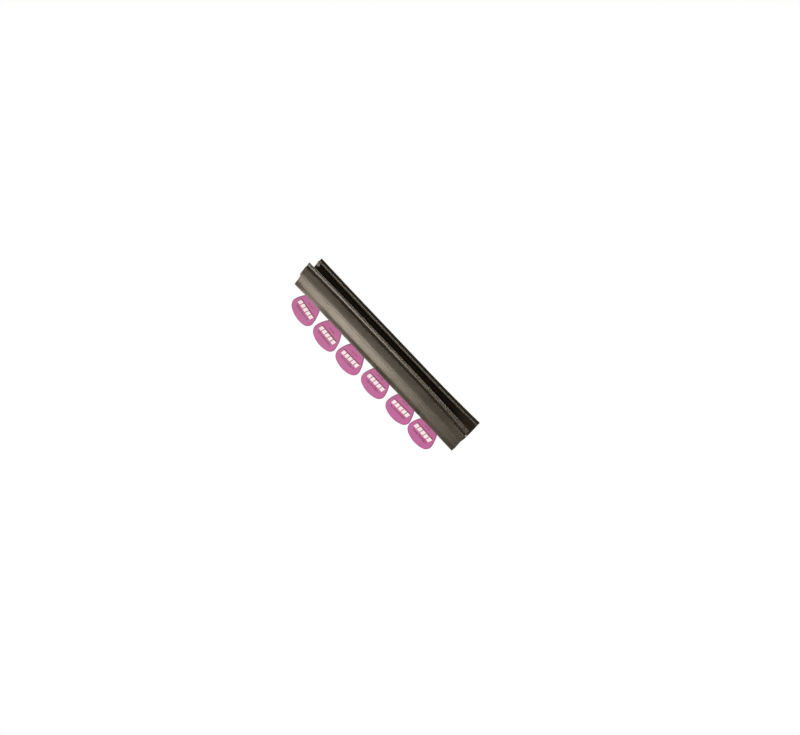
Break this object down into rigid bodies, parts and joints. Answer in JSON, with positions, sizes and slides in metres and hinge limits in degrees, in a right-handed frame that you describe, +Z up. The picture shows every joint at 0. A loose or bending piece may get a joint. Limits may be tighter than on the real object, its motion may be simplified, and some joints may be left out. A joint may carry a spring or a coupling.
{
  "type": "pick holder",
  "caption": "Long sprung plastic channel that clips along a stand tube, with a soft flap that grips guitar picks hanging in a row from its slot.",
  "frame": {"origin": "on the axis of the clip's channel, at the middle of its length: the axis of the stand tube that it clips on", "axes": "+X along the tube; -Y is the front, where the soft strip and the flap are; +Z is up, out of the channel's mouth, and the picks hang towards -Z"},
  "size_m": [0.1906, 0.0234, 0.0498],
  "materials": {
    "hard_vinyl": "extruded hard vinyl, near black, satin",
    "soft_vinyl": "soft extruded vinyl, warm dark grey, matt with faint lengthwise draw lines",
    "pick_plastic": null
  },
  "bodies": {
    "clip": {"clip_body": "hard_vinyl", "grip_strip_root": "soft_vinyl"},
    "flap": {"grip_flap": "soft_vinyl"},
    "pick_1": {"pick_1": "pick_plastic"},
    "pick_2": {"pick_2": "pick_plastic"},
    "pick_3": {"pick_3": "pick_plastic"},
    "pick_4": {"pick_4": "pick_plastic"},
    "pick_5": {"pick_5": "pick_plastic"},
    "pick_6": {"pick_6": "pick_plastic"}
  },
  "joints": [
    {"name": "flap_flex", "type": "hinge", "parent": "clip", "child": "flap", "pos_m": [0, -0.00725, -0.00925], "axis": [-1, 0, 0], "range_deg": [0, 18], "stiffness_Nm_per_rad": 0.02},
    {"name": "pick_1_slide", "type": "slide", "parent": "clip", "child": "pick_1", "axis": [0, 0, -1], "range_m": [-0.0008, 0.03]},
    {"name": "pick_2_slide", "type": "slide", "parent": "clip", "child": "pick_2", "axis": [0, 0, -1], "range_m": [-0.0008, 0.03]},
    {"name": "pick_3_slide", "type": "slide", "parent": "clip", "child": "pick_3", "axis": [0, 0, -1], "range_m": [-0.0008, 0.03]},
    {"name": "pick_4_slide", "type": "slide", "parent": "clip", "child": "pick_4", "axis": [0, 0, -1], "range_m": [-0.0008, 0.03]},
    {"name": "pick_5_slide", "type": "slide", "parent": "clip", "child": "pick_5", "axis": [0, 0, -1], "range_m": [-0.0008, 0.03]},
    {"name": "pick_6_slide", "type": "slide", "parent": "clip", "child": "pick_6", "axis": [0, 0, -1], "range_m": [-0.0008, 0.03]}
  ]
}
